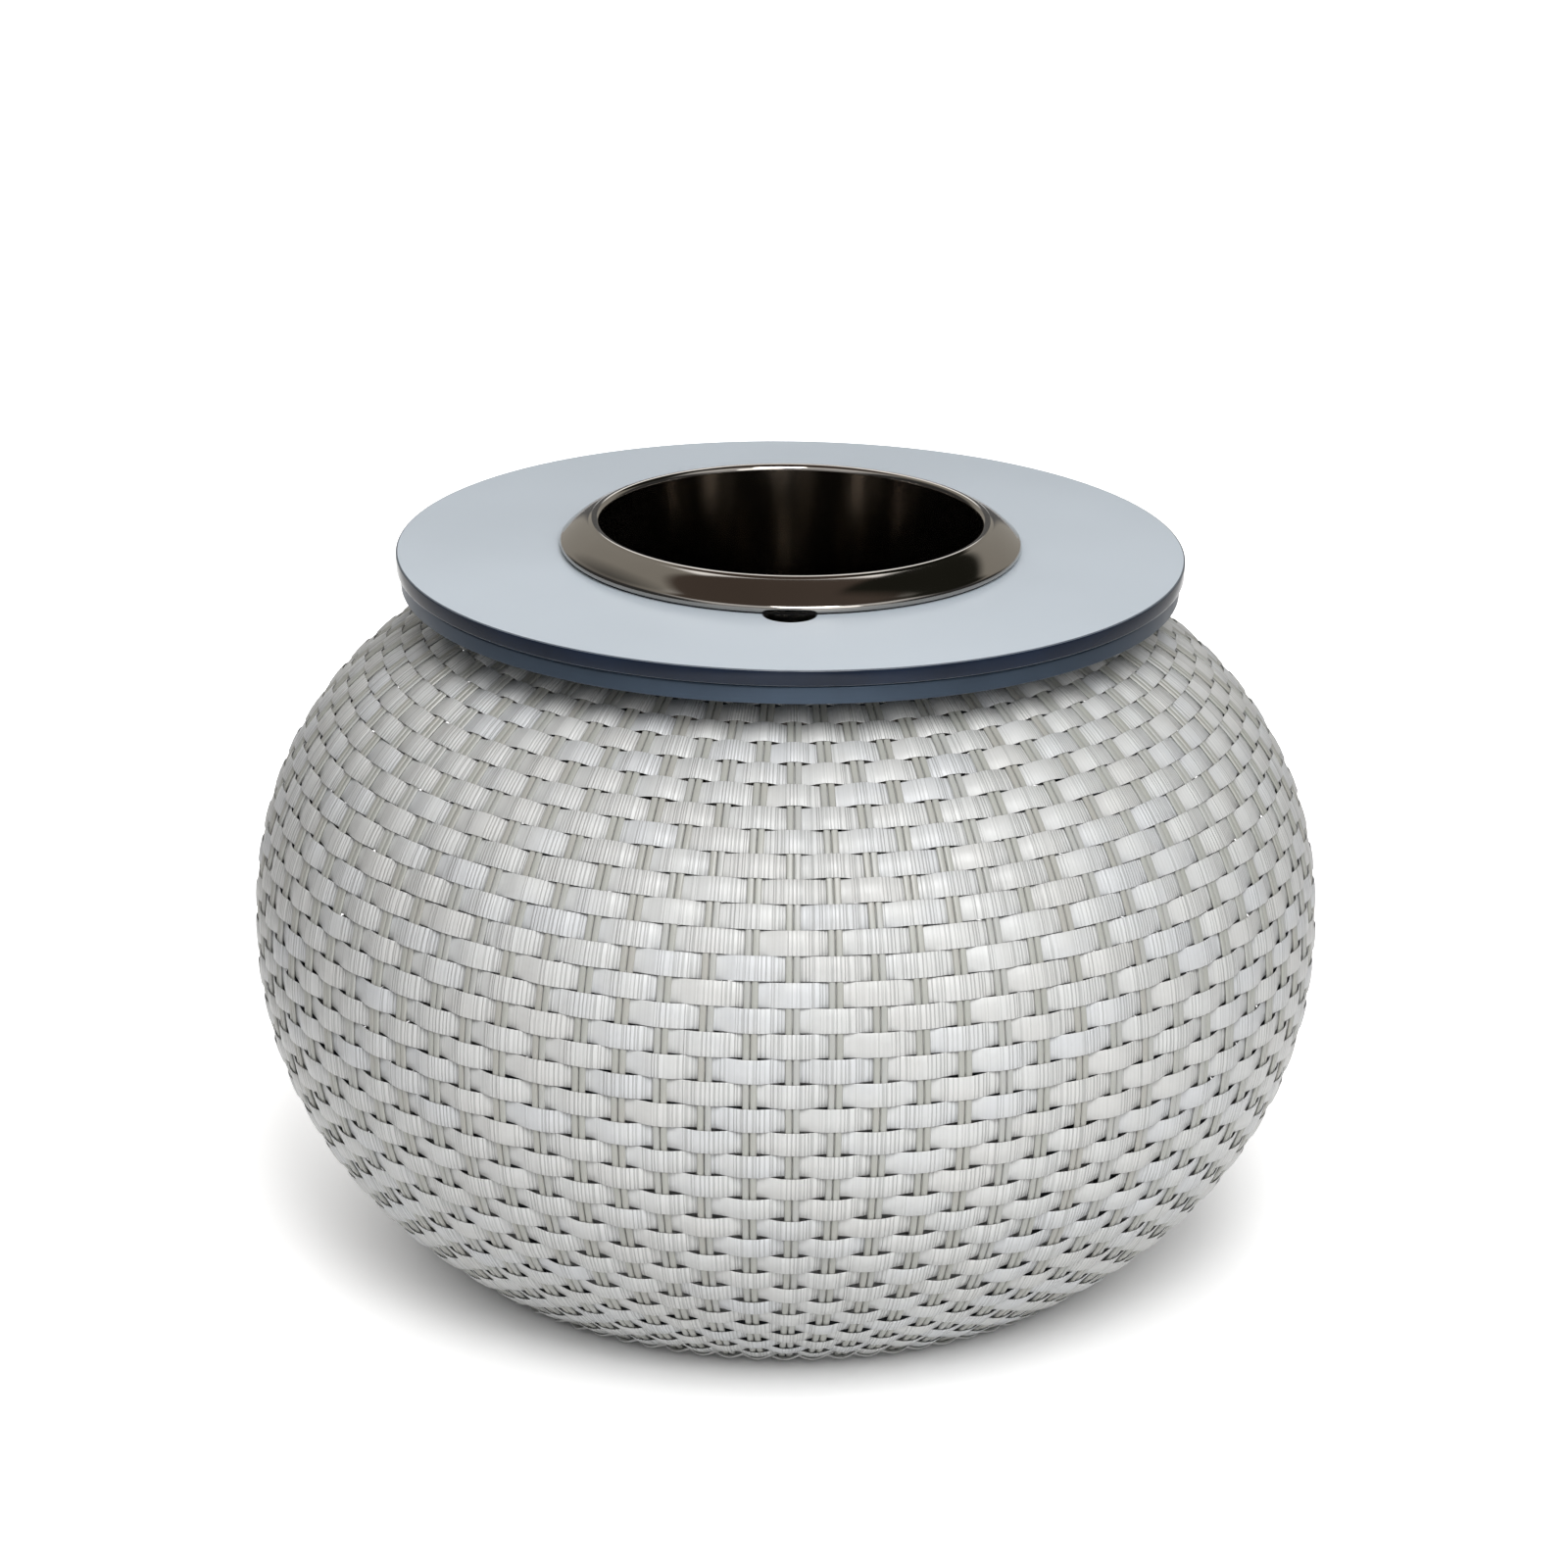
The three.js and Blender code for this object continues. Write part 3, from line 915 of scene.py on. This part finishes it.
def make_spun_steel():
    """Stainless steel with the fine rings of polishing on a lathe, a few smears and no rust."""
    material, tree, shader = new_material("spun_steel", Metallic=1.0)
    place = put(tree, "TexCoord", {}).outputs["Object"]
    parts = put(tree, "SeparateXYZ", {"Vector": place}).outputs
    # the tool runs out along the floor and then up the wall, so the rings follow radius plus height
    x_squared = maths(tree, "POWER", parts["X"], 2.0)
    y_squared = maths(tree, "POWER", parts["Y"], 2.0)
    from_axis = maths(tree, "SQRT", maths(tree, "ADD", x_squared, y_squared))
    tool_path = maths(tree, "ADD", from_axis, parts["Z"])
    lathe_rings = noise_along(tree, tool_path, polish_scale)
    values = {"Colour": colour(168, 163, 157), "Tone": 0.05, "Scale": 14.0}
    values.update({"Roughness": 0.08, "Dullness": 0.02})
    toned = place_group(tree, uneven_tone, values)
    normal = bump(tree, lathe_rings, polish_depth)
    feed(tree, shader, Base_Color=toned["Colour"], Roughness=toned["Roughness"], Normal=normal)
    return material


spun_steel = make_spun_steel()
bucket_mesh = turned(
    "spun_bucket", thicken(spun_line(), sheet), bucket_steps, crease_degrees=60
)
# the points at the centre of the floor become one on each face
bucket_shape = bmesh.new()
bucket_shape.from_mesh(bucket_mesh)
bmesh.ops.remove_doubles(bucket_shape, verts=bucket_shape.verts, dist=same_point)
bucket_shape.to_mesh(bucket_mesh)
bucket_shape.free()
bucket = add_object("spun_bucket", bucket_mesh, "bucket", spun_steel)
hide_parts("ice_bucket")

gasket_width = 0.006
gasket_rounding = 0.0005
gasket_steps = 128
gasket_outline = []
# one rounded corner at a time: whether it is on the outside, whether on top, and its first angle
for across, up, start in ((1, 0, -90), (1, 1, 0), (0, 1, 90), (0, 0, 180)):
    corner = (
        gasket_high.x - gasket_rounding - (1 - across) * (gasket_width - 2 * gasket_rounding),
        gasket_high.z - gasket_rounding if up else gasket_low.z + gasket_rounding,
    )
    gasket_outline.extend(arc(corner, gasket_rounding, start, start + 90, 3))
gasket_mesh = turned("soft_gasket", gasket_outline, gasket_steps)
gasket = add_object("soft_gasket", gasket_mesh, "bucket", rubber)
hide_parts("rim_gasket")


# Studio: a white floor that keeps a soft shadow, partly cast by the lamps and partly painted shadow
# where its glow fades out near the table, and a room for the steel to mirror, with a dark ceiling
# and walls that are bright above a sill and dark far to the sides. One lamp is high in front, one
# lower and to the right of it, and one behind.
floor_size = 30.0
floor_mesh = bpy.data.meshes.new("studio_floor")
half = floor_size / 2
floor_corners = [(-half, -half, 0), (half, -half, 0), (half, half, 0), (-half, half, 0)]
floor_mesh.from_pydata(floor_corners, [], [(0, 1, 2, 3)])
floor = bpy.data.objects.new("studio_floor", floor_mesh)
bpy.context.scene.collection.objects.link(floor)


def grey(level):
    """A plain grey of this strength."""
    return (level, level, level, 1)


floor_white, floor_tree, floor_shader = new_material(
    "studio_white",
    Base_Color=grey(0.88),
    Roughness=0.9,
    Specular_IOR_Level=0.1,
    Emission_Color=grey(1),
)
# away from the table the floor shows white to the camera and through glass, and in what the steel
# mirrors it does so only in front of the table and behind it
ahead_within = 0.4
aside_beyond = 1.0
painted_shadow_fades_from = 0.22
painted_shadow_ends_at = 0.5
path = put(floor_tree, "LightPath", {}).outputs
spot = put(floor_tree, "TexCoord", {}).outputs["Object"]
spot_parts = put(floor_tree, "SeparateXYZ", {"Vector": spot}).outputs
sideways = maths(floor_tree, "ABSOLUTE", spot_parts["X"])
ahead = remap(floor_tree, sideways, ahead_within, aside_beyond, 1.0, 0.1)
mirrored = maths(floor_tree, "MULTIPLY", path["Is Glossy Ray"], ahead)
seen = maths(floor_tree, "MAXIMUM", path["Is Camera Ray"], mirrored)
seen = maths(floor_tree, "MAXIMUM", seen, path["Is Transmission Ray"])
# painted shadow: the floor's glow fades out towards the table, so the floor darkens near it
# whatever the lamps do
from_table = put(floor_tree, "VectorMath", {0: spot}, operation="LENGTH").outputs["Value"]
glow_past_painted_shadow = remap(floor_tree, from_table, painted_shadow_fades_from, painted_shadow_ends_at, 0.0, 0.9)
glow = maths(floor_tree, "MULTIPLY", seen, glow_past_painted_shadow)
feed(floor_tree, floor_shader, Emission_Strength=glow)
floor_mesh.materials.append(floor_white)

world = bpy.data.worlds.new("studio")
bpy.context.scene.world = world
world.use_nodes = True
sky = world.node_tree
sky.nodes.clear()
direction = put(sky, "TexCoord", {}).outputs["Generated"]
sides = put(sky, "SeparateXYZ", {"Vector": direction}).outputs
ceiling = (0.11, 0.085, 0.07, 1)
side_wall = (0.42, 0.4, 0.36, 1)
back_corner = (0.02, 0.02, 0.015, 1)
far_side = grey(0.06)
room_middle = 0.06
# each of these is 1 in one part of the room and 0 elsewhere, and fades between two values of the
# X, Y or Z of the direction, which run from -1 to 1
behind = remap(sky, sides["Y"], -0.1, 0.1, 0.0, 1.0)
aside = remap(sky, maths(sky, "ABSOLUTE", sides["X"]), 0.22, 0.26, 0.0, 1.0)
rightward = remap(sky, sides["X"], 0.2, 0.25, 0.0, 1.0)
window_sill = remap(sky, sides["Z"], 0.36, 0.42, 0.0, 1.0)
dark_corner = maths(sky, "MULTIPLY", rightward, remap(sky, sides["Z"], 0.5, 0.56, 0.0, 1.0))
overhead = remap(sky, sides["Z"], 0.82, 0.86, 0.0, 1.0)
window_wall = blend_colours(sky, window_sill, grey(0.15), grey(1.8))
back_wall = blend_colours(sky, aside, window_wall, side_wall)
front_wall = blend_colours(sky, window_sill, grey(0.45), grey(0.9))
surround = blend_colours(sky, behind, front_wall, back_wall)
surround = blend_colours(sky, overhead, surround, ceiling)
in_corner = maths(sky, "MULTIPLY", behind, dark_corner)
surround = blend_colours(sky, in_corner, surround, back_corner)
off_middle = maths(sky, "ABSOLUTE", maths(sky, "SUBTRACT", sides["X"], room_middle))
far_aside = remap(sky, off_middle, 0.62, 0.8, 0.0, 1.0)
surround = blend_colours(sky, far_aside, surround, far_side)
sky_path = put(sky, "LightPath", {}).outputs
shown = blend_colours(sky, sky_path["Is Camera Ray"], surround, grey(1))
backdrop = put(sky, "Background", {"Color": shown})
put(sky, "OutputWorld", {"Surface": backdrop.outputs[0]})


def softbox(name, place, size, power, mirrored=True):
    """A broad square lamp aimed at the table, and whether the steel mirrors it."""
    lamp = bpy.data.lights.new(name, "AREA")
    lamp.size = size
    lamp.energy = power
    holder = bpy.data.objects.new(name, lamp)
    holder.location = place
    holder.rotation_euler = (look_at - Vector(place)).to_track_quat("-Z", "Y").to_euler()
    holder.visible_glossy = mirrored
    bpy.context.scene.collection.objects.link(holder)


softbox("key_lamp", (0.9, -2.5, 1.6), size=1.4, power=13)
softbox("top_lamp", (0.3, -1.9, 2.4), size=1.2, power=50)
softbox("back_lamp", (-0.9, 2.7, 0.9), size=1.6, power=25, mirrored=False)

bpy.context.scene.view_settings.view_transform = "Standard"
